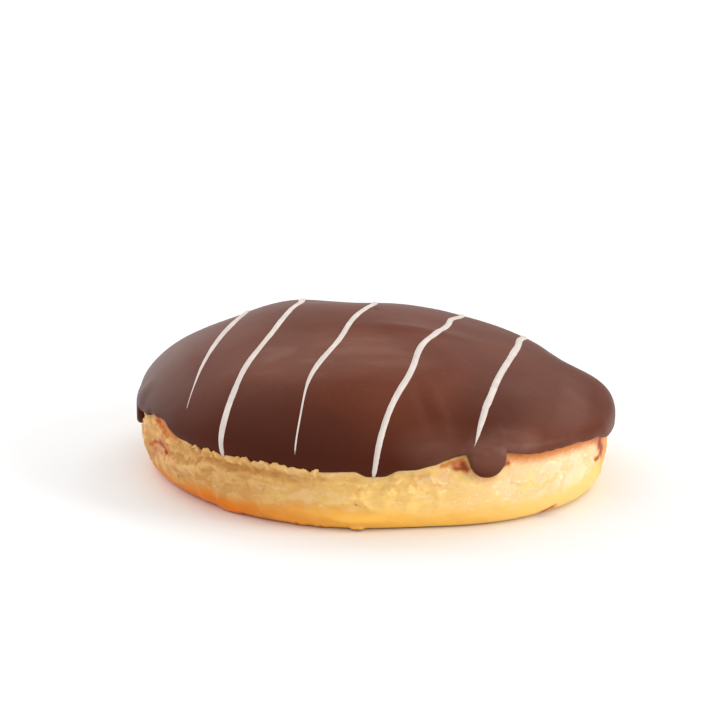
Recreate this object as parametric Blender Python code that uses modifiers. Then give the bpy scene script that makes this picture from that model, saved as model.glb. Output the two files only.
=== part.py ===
"""Round filled doughnut: a pale baked bun, a chocolate coat over its top and five white icing lines.

Metres, +Z up. The bun rests on its flat base at Z = 0, its front faces -Y, and the origin
is the middle of the base. Azimuths are degrees, 0 at +X and -90 at the front.
"""

from functools import lru_cache
from math import atan2, cos, degrees, exp, hypot, log, pi, radians, sin

import bmesh
import bpy
from mathutils import Vector, noise

MM = 0.001

# Driving dimensions of the bun
MEAN_RADIUS = 45.2 * MM
CROWN_HEIGHT = 30.8 * MM
WAIST_HEIGHT = 13.8 * MM
FOOT_SHARE = 0.885

# Driving dimensions of the chocolate coat, which stands a hair clear of the bun
COAT_GAP = 0.4 * MM
COAT_THICKNESS = 1.1 * MM
COAT_EXTRA_RIGHT = 0.45 * MM
LIP_BEAD = 0.2 * MM
EDGE_HEIGHT = 13.0 * MM

# Driving dimensions of the white icing lines
ICING_WIDTH = 1.3 * MM
ICING_SUNK = 0.2 * MM

# Handles of the two curves of the bun's side: crown to waist, then waist to foot
CROWN_HANDLE = 0.396
SHOULDER_HANDLE = 0.366
BELLY_HANDLE = 0.10
FOOT_HANDLE = 0.707

# Slow waves round the outline and over the dome: waves in a turn, share, azimuth of the crest
PLAN_WAVES = ((2, 0.058, -42), (3, 0.013, -30))
DOME_WAVES = ((1, 0.24, 180), (3, 0.14, 39))

# Where the whole bun swells out or sinks in, seen from the middle of its base: azimuth, elevation and
# half width in degrees, share
SWELLINGS = (
    (3, 21, 12, 0.014),
    (14, 20, 13, -0.035),
    (30, 38, 18, 0.01),
    (116, 60, 16, -0.03),
    (133, 50, 14, 0.023),
    (150, 34, 16, -0.028),
    (165, 29, 12, 0.009),
    (-178, 18, 14, -0.014),
    (-160, 2, 14, -0.022),
    (-143, 1, 13, -0.019),
    (-76, 0, 17, -0.048),
    (-50, 1, 15, -0.012),
)

# Where the coat's lower edge leaves its level: azimuth, half width in degrees, rise
EDGE_SHAPES = (
    (-181.5, 6.5, -4.2 * MM),
    (-168, 5, -1.4 * MM),
    (-162, 12.5, 2.3 * MM),
    (-147, 8.5, 0.75 * MM),
    (-102, 8.9, -0.5 * MM),
    (-88.6, 4.1, -1.25 * MM),
    (-65, 9.1, 1.05 * MM),
    (-54, 25.4, 0.85 * MM),
    (-19, 7, -1.1 * MM),
    (24, 9, 1.0 * MM),
    (46, 5, -2.4 * MM),
    (78, 11, 0.9 * MM),
    (104, 5, -1.8 * MM),
    (131, 8, 1.2 * MM),
    (157, 6, -1.3 * MM),
)

# The one thick drip of the edge, at the front right. A taper of 0.5 makes it half an ellipse, 1 a parabola.
DRIP_AZIMUTH = -63.4
DRIP_HALF_WIDTH = 5.4
DRIP_DROP = 4.3 * MM
DRIP_TAPER = 0.9

# How close to the edge its notches and its drip pull at the coat
EDGE_PULL = 12

# Where the lip of the coat is thicker or thinner: azimuth, half width in degrees, how much
LIP_SWELLINGS = ((-176, 7, 0.5 * MM), (-63, 4.5, 0.5 * MM), (-14, 12, -0.55 * MM))

# The bead along the lip starts and is full at these shares of the way from the crown to the edge
LIP_START = 0.86
LIP_FULL = 0.97

# How close to the edge the lip is rolled round
LIP_ROLL = 8

# Where the pale side is torn into crags: azimuth, half width in degrees
TORN_STRETCHES = ((-130, 48), (95, 40))
CRAG_DEPTH = 0.7 * MM
CRAG_SIZE = 5.5 * MM
CRAG_SHARPNESS = 3
CRAG_LEAST = 0.25
LUMP_DEPTH = 0.45 * MM
LUMP_SIZE = 15 * MM
LUMP_SHIFT = Vector((7, 3, 1))

# The crags rise from nothing above the foot and fade out below the coat's edge
CRAGS_FROM = 0.6 * MM
CRAGS_FULL = 3 * MM
CRAGS_FADE = 2.4 * MM
CRAGS_GONE = 0.9 * MM

# Ledges and folds of the side: azimuth, half width in degrees, height, half height, how far out
LEDGES = (
    (-122, 22, 10.4 * MM, 1.7 * MM, 1.1 * MM),
    (-91, 12, 9.2 * MM, 1.6 * MM, 0.5 * MM),
    (-172, 6, 8.0 * MM, 3.5 * MM, 0.5 * MM),
    (-160, 5, 8.5 * MM, 4.0 * MM, -0.7 * MM),
    (-149, 6, 8.0 * MM, 3.0 * MM, 0.5 * MM),
    (-94, 6, 2.2 * MM, 1.4 * MM, 0.5 * MM),
    (70, 16, 9.8 * MM, 1.8 * MM, 0.8 * MM),
    (118, 9, 8.5 * MM, 2.6 * MM, -0.6 * MM),
)

# The flat round of chocolate and icing that is laid over the bun; its rim becomes the coat's edge
SHEET_RADIUS = 50 * MM

# White lines piped on the flat round. Course: X at the middle, lean, bow per metre, where it stops
# leaning and runs straight back, where and how much it kinks. Run: front end, where it is narrow and
# where it is full, the narrow share, back end.
ICING_LINES = (
    ((-27.2 * MM, 0.462, 3.0, 7 * MM, -17.3 * MM, -0.16 * MM), (-25 * MM, -25 * MM, 4 * MM, 0.3, 28 * MM)),
    ((-15.8 * MM, 0.432, 1.3, 6 * MM, -15 * MM, 0.54 * MM), (-38 * MM, -39 * MM, -35 * MM, 0.85, 36 * MM)),
    ((-0.9 * MM, 0.399, 2.1, 4 * MM, -22.8 * MM, 0.85 * MM), (-46 * MM, -35 * MM, -24.5 * MM, 0.35, 39 * MM)),
    ((15.2 * MM, 0.338, 0.9, 12 * MM, -21.9 * MM, -0.7 * MM), (-49.5 * MM, -50 * MM, -44 * MM, 0.6, 37 * MM)),
    ((29.4 * MM, 0.317, 1.6, 12 * MM, -25.7 * MM, -0.23 * MM), (-43 * MM, -45 * MM, -31 * MM, 0.3, 28 * MM)),
)
KINK_REACH = 7 * MM
LEAN_FADE = 1.5 * MM
BACK_NARROWING = 10 * MM
BACK_SHARE = 0.4
LINE_POINTS = 26

# Turned steps, crowded towards the front where the drip and the crags are
TURN_STEPS = 112
CROWDING = 0.38
CROWDED_AZIMUTH = -76

# Rings of each surface, closer together towards the waist
DOME_RINGS = 10
BELLY_RINGS = 10
COAT_OUTER_RINGS = 12
COAT_INNER_RINGS = 13
RING_EASE = 1.6
RIM_POINTS = 4
SIDE_SAMPLES = 120
WELD = 0.001 * MM


def bezier(start, first, second, end, t):
    """One coordinate of a cubic curve at t."""
    s = 1 - t
    return s ** 3 * start + 3 * s * s * t * first + 3 * s * t * t * second + t ** 3 * end


def smooth(low, high, value):
    """0 below low, 1 above high and an even ease between."""
    t = min(max((value - low) / (high - low), 0), 1)
    return t * t * (3 - 2 * t)


def swell(offset, reach):
    """1 at no offset, falling away past the reach."""
    return exp(-abs(offset / reach) ** 4)


def turn_between(azimuth, other):
    """Signed degrees from one azimuth to another, the short way round."""
    return (azimuth - other + 180) % 360 - 180


def waves(table, azimuth, out=1):
    """Sum of the slow waves at an azimuth, dying away evenly towards the middle, where out is 0."""
    return sum(
        share * out ** min(count, 2) * cos(radians(count * (azimuth - crest))) for count, share, crest in table)


def section(level):
    """Radius share and height of the plain bun: level 0 at the crown, 1 at the waist, 2 at the foot."""
    if level <= 1:
        rise = bezier(1, 1, SHOULDER_HANDLE, 0, level)
        return bezier(0, CROWN_HANDLE, 1, 1, level), WAIST_HEIGHT + (CROWN_HEIGHT - WAIST_HEIGHT) * rise
    foot = FOOT_SHARE + (1 - FOOT_SHARE) * FOOT_HANDLE
    height = WAIST_HEIGHT * bezier(1, BELLY_HANDLE, 0, 0, level - 1)
    return bezier(1, 1, foot, FOOT_SHARE, level - 1), height


def direction(azimuth, elevation):
    """Unit vector at an azimuth and an elevation in degrees."""
    turn, climb = radians(azimuth), radians(elevation)
    return Vector((cos(climb) * cos(turn), cos(climb) * sin(turn), sin(climb)))


def settle(azimuth, share, height):
    """A point of the plain turned bun, moved to the uneven outline and dome of the real one."""
    radius = share * MEAN_RADIUS * (1 + waves(PLAN_WAVES, azimuth))
    if height > WAIST_HEIGHT:
        height = WAIST_HEIGHT + (height - WAIST_HEIGHT) * (1 + waves(DOME_WAVES, azimuth, share))
    angle = radians(azimuth)
    point = Vector((radius * cos(angle), radius * sin(angle), height))
    toward = point.normalized()
    swollen = 1
    for at, up, reach, amount in SWELLINGS:
        swollen += amount * exp(2 * (toward.dot(direction(at, up)) - 1) / radians(reach) ** 2)
    return point * swollen


def bun_point(azimuth, level):
    """A point of the bun's smooth surface."""
    return settle(azimuth, *section(level))


def bun_normal(azimuth, level):
    """Outward direction of the bun's smooth surface."""
    step = 0.002
    turn = 0.5
    level = min(max(level, 5 * step), 2 - step)
    along = bun_point(azimuth, level + step) - bun_point(azimuth, level - step)
    around = bun_point(azimuth + turn, level) - bun_point(azimuth - turn, level)
    return along.cross(around).normalized()


def edge_height(azimuth):
    """Height of the coat's lower edge, with its notches and its drip."""
    across = turn_between(azimuth, DRIP_AZIMUTH) / DRIP_HALF_WIDTH
    return EDGE_HEIGHT - DRIP_DROP * max(1 - across * across, 0) ** DRIP_TAPER + sum(
        rise * swell(turn_between(azimuth, centre), width) for centre, width, rise in EDGE_SHAPES)


@lru_cache(maxsize=None)
def side_line(azimuth):
    """The bun's side at one azimuth, crown to foot, as level, distance walked and height."""
    line = []
    walked = 0
    last = None
    for sample in range(SIDE_SAMPLES + 1):
        level = 2 * sample / SIDE_SAMPLES
        point = bun_point(azimuth, level)
        walked += (point - last).length if last else 0
        line.append((level, walked, point.z))
        last = point
    return line


def level_at(azimuth, walked):
    """Level of the side that lies this far down from the crown."""
    for (level, start, _), (next_level, end, _) in zip(side_line(azimuth), side_line(azimuth)[1:]):
        if end >= walked:
            return level + (next_level - level) * (walked - start) / (end - start)
    return 2


def walk_to(azimuth, height):
    """Distance from the crown down to a height of the side."""
    for (_, start, high), (_, end, low) in zip(side_line(azimuth), side_line(azimuth)[1:]):
        if low <= height:
            return start + (end - start) * (high - height) / (high - low)
    return side_line(azimuth)[-1][1]


@lru_cache(maxsize=None)
def edge_walk(azimuth):
    """Distance from the crown down to the coat's edge, and to where it would be without its shapes."""
    return walk_to(azimuth, edge_height(azimuth)), walk_to(azimuth, EDGE_HEIGHT)


def coat_thickness(azimuth, share):
    """Thickness of the coat: more at the right end, in a bead along the edge and in its drip."""
    right = COAT_EXTRA_RIGHT * cos(radians(azimuth)) * share
    bead = LIP_BEAD + sum(
        amount * swell(turn_between(azimuth, centre), reach) for centre, reach, amount in LIP_SWELLINGS)
    return COAT_THICKNESS + right + bead * smooth(LIP_START, LIP_FULL, share)


def drape(azimuth, share, lift, beyond=0):
    """A point of the flat round, laid over the bun: share of the way to the edge, and past it."""
    azimuth = round(azimuth, 4)
    real, plain = edge_walk(azimuth)
    level = level_at(azimuth, share * plain + share ** EDGE_PULL * (real - plain) + beyond)
    return bun_point(azimuth, level) + bun_normal(azimuth, level) * lift


def crags(azimuth, height):
    """How far the pale side stands out or in, from the foot to just under the coat."""
    edge = edge_height(azimuth)
    band = smooth(CRAGS_FROM, CRAGS_FULL, height) * (1 - smooth(edge - CRAGS_FADE, edge - CRAGS_GONE, height))
    angle = radians(azimuth)
    place = Vector((MEAN_RADIUS * cos(angle), MEAN_RADIUS * sin(angle), height))
    torn = sum(swell(turn_between(azimuth, centre), reach) for centre, reach in TORN_STRETCHES)
    ridge = 1 - CRAG_SHARPNESS * abs(noise.noise(place / CRAG_SIZE))
    lump = noise.noise(place / LUMP_SIZE + LUMP_SHIFT)
    out = CRAG_DEPTH * ridge * min(CRAG_LEAST + torn, 1) + LUMP_DEPTH * lump
    for centre, reach, ledge_height, half, amount in LEDGES:
        out += amount * swell(turn_between(azimuth, centre), reach) * swell(height - ledge_height, half)
    return out * band


def crowd(azimuth):
    """Moves an even turned step towards the front."""
    return azimuth - degrees(CROWDING * sin(radians(azimuth - CROWDED_AZIMUTH)))


def ring_shares(count, ease):
    """Shares from 0 to 1, evenly spread at an ease of 1 and crowded towards 1 above it."""
    return [1 - (1 - ring / count) ** ease for ring in range(count + 1)]


def ring_levels(start, end, count, ease):
    """Levels of rings along the plain side, by the distance walked."""
    line = side_line(0)
    first = next(walked for level, walked, _ in line if level >= start)
    last = next(walked for level, walked, _ in line if level >= end)
    return [level_at(0, first + (last - first) * share) for share in ring_shares(count, ease)]


def material(name, colour, roughness):
    """A plain finish."""
    finish = bpy.data.materials.new(name)
    finish.use_nodes = True
    shader = finish.node_tree.nodes["Principled BSDF"]
    shader.inputs["Base Color"].default_value = (*colour, 1)
    shader.inputs["Roughness"].default_value = roughness
    shader.inputs["Metallic"].default_value = 0
    return finish


def as_mesh(source, name, collection):
    """The evaluated form of an object as a welded mesh object of its own; the source is removed."""
    mesh = bpy.data.meshes.new_from_object(source.evaluated_get(bpy.context.evaluated_depsgraph_get()))
    mesh.name = name
    work = bmesh.new()
    work.from_mesh(mesh)
    bmesh.ops.remove_doubles(work, verts=work.verts, dist=WELD)
    work.to_mesh(mesh)
    work.free()
    matrix = source.matrix_world.copy()
    bpy.data.objects.remove(source)
    result = bpy.data.objects.new(name, mesh)
    result.matrix_world = matrix
    collection.objects.link(result)
    return result


def turned(name, profile, collection):
    """A profile of radius and height, top to bottom, turned about Z."""
    mesh = bpy.data.meshes.new(name + "_profile")
    points = [(radius, 0, height) for radius, height in profile]
    mesh.from_pydata(points, [(k, k + 1) for k in range(len(points) - 1)], [])
    lathe = bpy.data.objects.new(name + "_profile", mesh)
    collection.objects.link(lathe)
    screw = lathe.modifiers.new("Turn", "SCREW")
    screw.steps = TURN_STEPS
    screw.render_steps = TURN_STEPS
    screw.use_merge_vertices = True
    screw.merge_threshold = 10 * WELD
    bpy.context.view_layer.update()
    return as_mesh(lathe, name, collection)


def shape(piece, mover):
    """Moves every point of a turned piece, given its azimuth, radius and height."""
    for vertex in piece.data.vertices:
        x, y, z = vertex.co
        vertex.co = mover(crowd(degrees(atan2(y, x))), hypot(x, y), z)
    piece.data.shade_smooth()


def bake_bun(collection):
    """The bun: a turned section with a flat base, settled uneven, with crags on its pale side."""
    levels = ring_levels(0, 1, DOME_RINGS, RING_EASE) + ring_levels(1, 2, BELLY_RINGS, 1)[1:]
    profile = [(MEAN_RADIUS * share, height) for share, height in map(section, levels)]
    profile[0] = (0, CROWN_HEIGHT)
    profile += [(MEAN_RADIUS * FOOT_SHARE / 2, 0), (0, 0)]
    bun = turned("dough", profile, collection)

    def mover(azimuth, radius, height):
        point = settle(azimuth, radius / MEAN_RADIUS, height)
        angle = radians(azimuth)
        return point + Vector((cos(angle), sin(angle), 0)) * crags(azimuth, height)

    shape(bun, mover)
    bun.data.materials.append(material("pale_crust", (0.81, 0.52, 0.22), 0.7))
    return bun


def pour_coat(collection):
    """The coat: a flat round of chocolate with a rounded rim, laid over the bun down to its edge."""
    half = COAT_THICKNESS / 2
    flat = SHEET_RADIUS - half
    turns = [pi * (k + 1) / (RIM_POINTS + 1) for k in range(RIM_POINTS)]
    profile = [(flat * share, COAT_THICKNESS) for share in ring_shares(COAT_OUTER_RINGS, RING_EASE)]
    profile += [(flat + half * sin(turn), half + half * cos(turn)) for turn in turns]
    profile += [(flat * share, 0) for share in reversed(ring_shares(COAT_INNER_RINGS, RING_EASE))]
    coat = turned("chocolate_coat", profile, collection)

    def mover(azimuth, radius, height):
        share = min(radius / flat, 1)
        thickness = coat_thickness(azimuth, share)
        beyond = (max(radius - flat, 0) / half - 1) * thickness / 2 * share ** LIP_ROLL
        return drape(azimuth, share, COAT_GAP + thickness * height / COAT_THICKNESS, beyond)

    shape(coat, mover)
    coat.data.materials.append(material("chocolate", (0.145, 0.055, 0.034), 0.35))
    return coat


def pipe_line(number, line, collection):
    """One white icing line: a thin tube laid on the coat and half sunk into it."""
    (middle, lean, bow, lean_end, kink_at, kink), (front, narrow, full, narrow_share, back) = line
    curve = bpy.data.curves.new(f"icing_line_{number}", "CURVE")
    curve.dimensions = "3D"
    curve.bevel_depth = ICING_WIDTH / 2
    curve.bevel_resolution = 2
    curve.use_fill_caps = True
    spline = curve.splines.new("POLY")
    spline.points.add(LINE_POINTS - 1)
    for index, point in enumerate(spline.points):
        y = front + (back - front) * index / (LINE_POINTS - 1)
        bend = (y - kink_at) / KINK_REACH
        leant = lean_end - LEAN_FADE * log(1 + exp((lean_end - y) / LEAN_FADE))
        x = middle + lean * leant + bow * leant * leant + kink * bend * exp(0.5 - bend * bend / 2)
        azimuth = degrees(atan2(y, x))
        share = hypot(x, y) / SHEET_RADIUS
        width = narrow_share + (1 - narrow_share) * smooth(narrow, full, y)
        width *= BACK_SHARE + (1 - BACK_SHARE) * smooth(0, BACK_NARROWING, back - y)
        lift = COAT_GAP + coat_thickness(azimuth, share) - ICING_SUNK * width
        point.co = (*drape(azimuth, share, lift), 1)
        point.radius = width
    piped = bpy.data.objects.new(curve.name, curve)
    collection.objects.link(piped)
    bpy.context.view_layer.update()
    return as_mesh(piped, curve.name, collection)


def fuse(coat, lines, collection):
    """Joins the icing lines to the coat as one solid."""
    union = coat.modifiers.new("Fuse", "BOOLEAN")
    union.operation = "UNION"
    union.operand_type = "COLLECTION"
    union.collection = lines
    union.solver = "EXACT"
    bpy.context.view_layer.update()
    name = coat.name
    coat.name = name + "_plain"
    fused = as_mesh(coat, name, collection)
    for piece in list(lines.objects):
        bpy.data.objects.remove(piece)
    bpy.data.collections.remove(lines)
    fused.data.shade_smooth()
    return fused


def centre(pieces):
    """Puts the middle of the whole doughnut's box over the origin."""
    corners = [vertex.co for piece in pieces for vertex in piece.data.vertices]
    for axis in (0, 1):
        middle = (min(co[axis] for co in corners) + max(co[axis] for co in corners)) / 2
        for piece in pieces:
            for vertex in piece.data.vertices:
                vertex.co[axis] -= middle


def build():
    """Bakes the bun, pours the coat, pipes the lines and fuses them."""
    for leftover in list(bpy.data.objects):
        bpy.data.objects.remove(leftover)
    doughnut = bpy.data.collections.new("chocolate_doughnut")
    bpy.context.scene.collection.children.link(doughnut)
    piping = bpy.data.collections.new("icing_lines")
    bpy.context.scene.collection.children.link(piping)

    bun = bake_bun(doughnut)
    coat = pour_coat(doughnut)
    for number, line in enumerate(ICING_LINES, 1):
        pipe_line(number, line, piping)
    coat = fuse(coat, piping, doughnut)
    centre((bun, coat))


build()
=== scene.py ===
from math import cos, pi, radians, sin

import bpy
import numpy as np
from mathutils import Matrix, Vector, noise


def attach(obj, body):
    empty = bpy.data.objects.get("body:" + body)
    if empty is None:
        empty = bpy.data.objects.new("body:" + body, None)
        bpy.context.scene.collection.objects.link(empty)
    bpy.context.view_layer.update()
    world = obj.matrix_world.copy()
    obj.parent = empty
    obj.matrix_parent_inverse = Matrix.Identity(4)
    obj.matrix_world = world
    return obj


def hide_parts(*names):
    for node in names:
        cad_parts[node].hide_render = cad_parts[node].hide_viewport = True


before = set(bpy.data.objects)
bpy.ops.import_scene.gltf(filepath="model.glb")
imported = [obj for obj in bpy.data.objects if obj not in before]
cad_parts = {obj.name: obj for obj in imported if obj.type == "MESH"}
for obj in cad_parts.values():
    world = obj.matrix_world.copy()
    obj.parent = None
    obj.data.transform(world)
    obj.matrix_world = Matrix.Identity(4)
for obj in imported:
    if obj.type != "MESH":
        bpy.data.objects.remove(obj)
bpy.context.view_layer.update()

# The bun: a round of yeast dough, baked flat on its base and turned golden where it met the tin.
# It swelled unevenly, so its outline and dome are not round. Its side is pale, torn and folded at
# the front left, and smooth and creamy at the right.
MM = 0.001
mean_radius = 45.2 * MM
crown_height = 30.8 * MM
waist_height = 13.8 * MM
foot_share = 0.885
crown_handle = 0.396
shoulder_handle = 0.366
belly_handle = 0.10
foot_handle = 0.707
plan_waves = ((2, 0.058, -42), (3, 0.013, -30))
dome_waves = ((1, 0.24, 180), (3, 0.14, 39))
# Where the whole bun swells out or sinks in: azimuth, elevation and half width in degrees, share
swellings = (
    (3, 21, 12, 0.014), (14, 20, 13, -0.035), (30, 38, 18, 0.01), (116, 60, 16, -0.03),
    (133, 50, 14, 0.023), (150, 34, 16, -0.028), (165, 29, 12, 0.009), (-178, 18, 14, -0.014),
    (-160, 2, 14, -0.022), (-143, 1, 13, -0.019), (-76, 0, 17, -0.048), (-50, 1, 15, -0.012),
)

# The coat's lower edge, which the bun's own relief stops at: azimuth, half width in degrees, rise
edge_level = 13.0 * MM
edge_shapes = (
    (-130, 37, -0.9 * MM), (-181.5, 6.5, -4.2 * MM), (-168, 5, -1.4 * MM), (-162, 12.5, 2.3 * MM),
    (-147, 8.5, 0.75 * MM), (-102, 8.9, -0.5 * MM), (-88.6, 4.1, -1.25 * MM), (-81, 3.2, -0.45 * MM),
    (-65, 9.1, 1.05 * MM), (-54, 25.4, 0.85 * MM), (-20, 8, -1.4 * MM), (24, 9, 1.0 * MM),
    (46, 5, -2.4 * MM), (78, 11, 0.9 * MM), (104, 5, -1.8 * MM), (131, 8, 1.2 * MM),
    (157, 6, -1.3 * MM),
)
drip_azimuth = -63.4
drip_half_width = 4.2
drip_drop = 4.15 * MM


def bezier(start, first, second, end, t):
    """One coordinate of a cubic curve at t."""
    s = 1 - t
    return s ** 3 * start + 3 * s * s * t * first + 3 * s * t * t * second + t ** 3 * end


def ease(low, high, value):
    """0 below low, 1 above high, and smooth between."""
    t = np.clip((value - low) / (high - low), 0, 1)
    return t * t * (3 - 2 * t)


def swell(offset, reach):
    """1 at no offset, falling away past the reach."""
    return np.exp(-np.abs(offset / reach) ** 4)


def turn_between(azimuth, other):
    """Signed degrees from one azimuth to another, the short way round."""
    return (azimuth - other + 180) % 360 - 180


def near(azimuth, other, reach):
    """1 at the other azimuth, falling away past the reach to either side of it."""
    return swell(turn_between(azimuth, other), reach)


def wave_sum(table, azimuth, out):
    """Slow waves round the bun, dying away towards its middle."""
    total = 0
    for count, share, crest in table:
        total = total + share * out ** min(count, 2) * np.cos(np.radians(count * (azimuth - crest)))
    return total


def bun_section(level):
    """Radius share and height of the side: level 0 is the crown, 1 the waist and 2 the foot."""
    upper = np.clip(level, 0, 1)
    lower = np.clip(level - 1, 0, 1)
    foot = foot_share + (1 - foot_share) * foot_handle
    share = np.where(level <= 1, bezier(0, crown_handle, 1, 1, upper), bezier(1, 1, foot, foot_share, lower))
    dome = waist_height + (crown_height - waist_height) * bezier(1, 1, shoulder_handle, 0, upper)
    return share, np.where(level <= 1, dome, waist_height * bezier(1, belly_handle, 0, 0, lower))


def bun_point(azimuth, level):
    """Points of the bun's smooth form."""
    share, height = bun_section(level)
    radius = share * mean_radius * (1 + wave_sum(plan_waves, azimuth, 1))
    lifted = waist_height + (height - waist_height) * (1 + wave_sum(dome_waves, azimuth, share))
    height = np.where(height > waist_height, lifted, height)
    angle = np.radians(azimuth)
    point = np.stack([radius * np.cos(angle), radius * np.sin(angle), height], -1)
    toward = point / np.maximum(np.linalg.norm(point, axis=-1, keepdims=True), 1e-9)
    swollen = np.ones(toward.shape[:-1])
    for at, up, reach, amount in swellings:
        turn, climb = radians(at), radians(up)
        along = toward @ np.array([cos(climb) * cos(turn), cos(climb) * sin(turn), sin(climb)])
        swollen += amount * np.exp(2 * (along - 1) / radians(reach) ** 2)
    return point * swollen[..., None]


def bun_normal(azimuth, level):
    """Outward directions of the bun's smooth form."""
    crown, foot = 0.01, 1.998
    level_step, turn_step = 0.002, 0.5
    level = np.clip(level, crown, foot)
    along = bun_point(azimuth, level + level_step) - bun_point(azimuth, level - level_step)
    around = bun_point(azimuth + turn_step, level) - bun_point(azimuth - turn_step, level)
    normal = np.cross(along, around)
    return normal / np.linalg.norm(normal, axis=-1, keepdims=True)


def edge_height(azimuth):
    """Height of the coat's lower edge, with its notches and its one round drip."""
    off_drip = turn_between(azimuth, drip_azimuth) / drip_half_width
    drip = drip_drop * np.sqrt(np.maximum(1 - off_drip ** 2, 0))
    return edge_level - drip + sum(rise * near(azimuth, at, reach) for at, reach, rise in edge_shapes)


def grain(points, size, shift=0.0):
    """Smooth random values from -1 to 1 at points, with lumps of a size. A shift gives others."""
    offset = Vector((shift, 2 * shift, -shift))
    return np.array([noise.noise(Vector(point) / size + offset) for point in points])


def cells(points, size):
    """Distance to the nearest of scattered seeds, in spacings."""
    return np.array([noise.voronoi(Vector(point) / size)[0][0] for point in points])


def on_round(azimuth, radius):
    """Points of a flat round at azimuths and radii."""
    angle = np.radians(azimuth)
    return np.stack([radius * np.cos(angle), radius * np.sin(angle), 0 * angle], -1)


def round_of(name, segments, rings):
    """A sphere primitive to be moved to a round form, with each point's azimuth and ring."""
    halvings = 2
    parts = 2 ** halvings
    bpy.ops.object.select_all(action="DESELECT")
    bpy.ops.mesh.primitive_uv_sphere_add(segments=segments // parts, ring_count=rings // parts, radius=1)
    piece = bpy.context.active_object
    piece.name = name
    fine = piece.modifiers.new("Fine", "SUBSURF")
    fine.subdivision_type = "SIMPLE"
    fine.levels = halvings
    bpy.ops.object.modifier_apply(modifier=fine.name)
    flat = np.empty(len(piece.data.vertices) * 3)
    piece.data.vertices.foreach_get("co", flat)
    x, y, z = flat.reshape(-1, 3).T
    return piece, np.degrees(np.arctan2(y, x)), np.arctan2(np.hypot(x, y), z) / pi * rings


def set_points(piece, points):
    """Moves a piece's points and shades it smooth."""
    piece.data.vertices.foreach_set("co", np.asarray(points, np.float32).ravel())
    piece.data.update()
    piece.data.shade_smooth()


def side_levels(start, end, count):
    """Levels of rings spread evenly down the plain side."""
    samples = 801
    level = np.linspace(0, 2, samples)
    share, height = bun_section(level)
    walked = np.append(0, np.cumsum(np.hypot(np.diff(share) * mean_radius, np.diff(height))))
    ends = np.interp([start, end], level, walked)
    return np.interp(np.linspace(ends[0], ends[1], count + 1), walked, level)


# Where the side is torn, and where a rim of crumb stands up: azimuth, half width in degrees
torn_stretches = ((-130, 48), (95, 40))
rim_stretches = ((-118, 24), (124, 12))
smooth_torn = 0.25
# Ledges of the side: azimuth, half width in degrees, height, half height, how far they stand out
ledges = (
    (-122, 22, 10.4 * MM, 1.7 * MM, 1.1 * MM),
    (-91, 12, 9.2 * MM, 1.6 * MM, 0.5 * MM),
    (-172, 6, 8.0 * MM, 3.5 * MM, 0.5 * MM),
    (-160, 5, 8.5 * MM, 4.0 * MM, -0.7 * MM),
    (-149, 6, 8.0 * MM, 3.0 * MM, 0.5 * MM),
    (-94, 6, 2.2 * MM, 1.4 * MM, 0.5 * MM),
    (70, 16, 9.8 * MM, 1.8 * MM, 0.8 * MM),
    (118, 9, 8.5 * MM, 2.6 * MM, -0.6 * MM),
)
# Relief of the side: how far it stands out or cuts in, and how wide its lumps are
lump_rise, lump_size = 0.45 * MM, 15 * MM
crag_rise, crag_size = 0.7 * MM, 5.5 * MM
flake_rise, flake_size = 0.6 * MM, 4.2 * MM
chip_rise, chip_size = 0.26 * MM, 1.7 * MM
dent_rise, dent_size = 0.16 * MM, 4.2 * MM
pore_depth, pore_size, pored_size = 0.2 * MM, 1.5 * MM, 6 * MM
crumb_rise, crumb_size = 0.02 * MM, 0.7 * MM
flake_stretch = (1, 1, 2.2)
# The rim of crumb, in millimetres: how far it stands out and how high above the coat's edge, each
# with its unevenness, and how wide its teeth are
rim_out, rim_out_uneven, rim_lump_size = 1.95, 0.7, 1.5
rim_above, rim_above_uneven = 0.5, 0.9
wide_teeth, teeth, fine_teeth = 3.2, 1.2, 0.6
# Millimetres round the side for a degree, and how far the folds and marks wander off their lines
degree_run = 0.79
fold_wander = 0.35
mark_wander = 0.12
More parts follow.
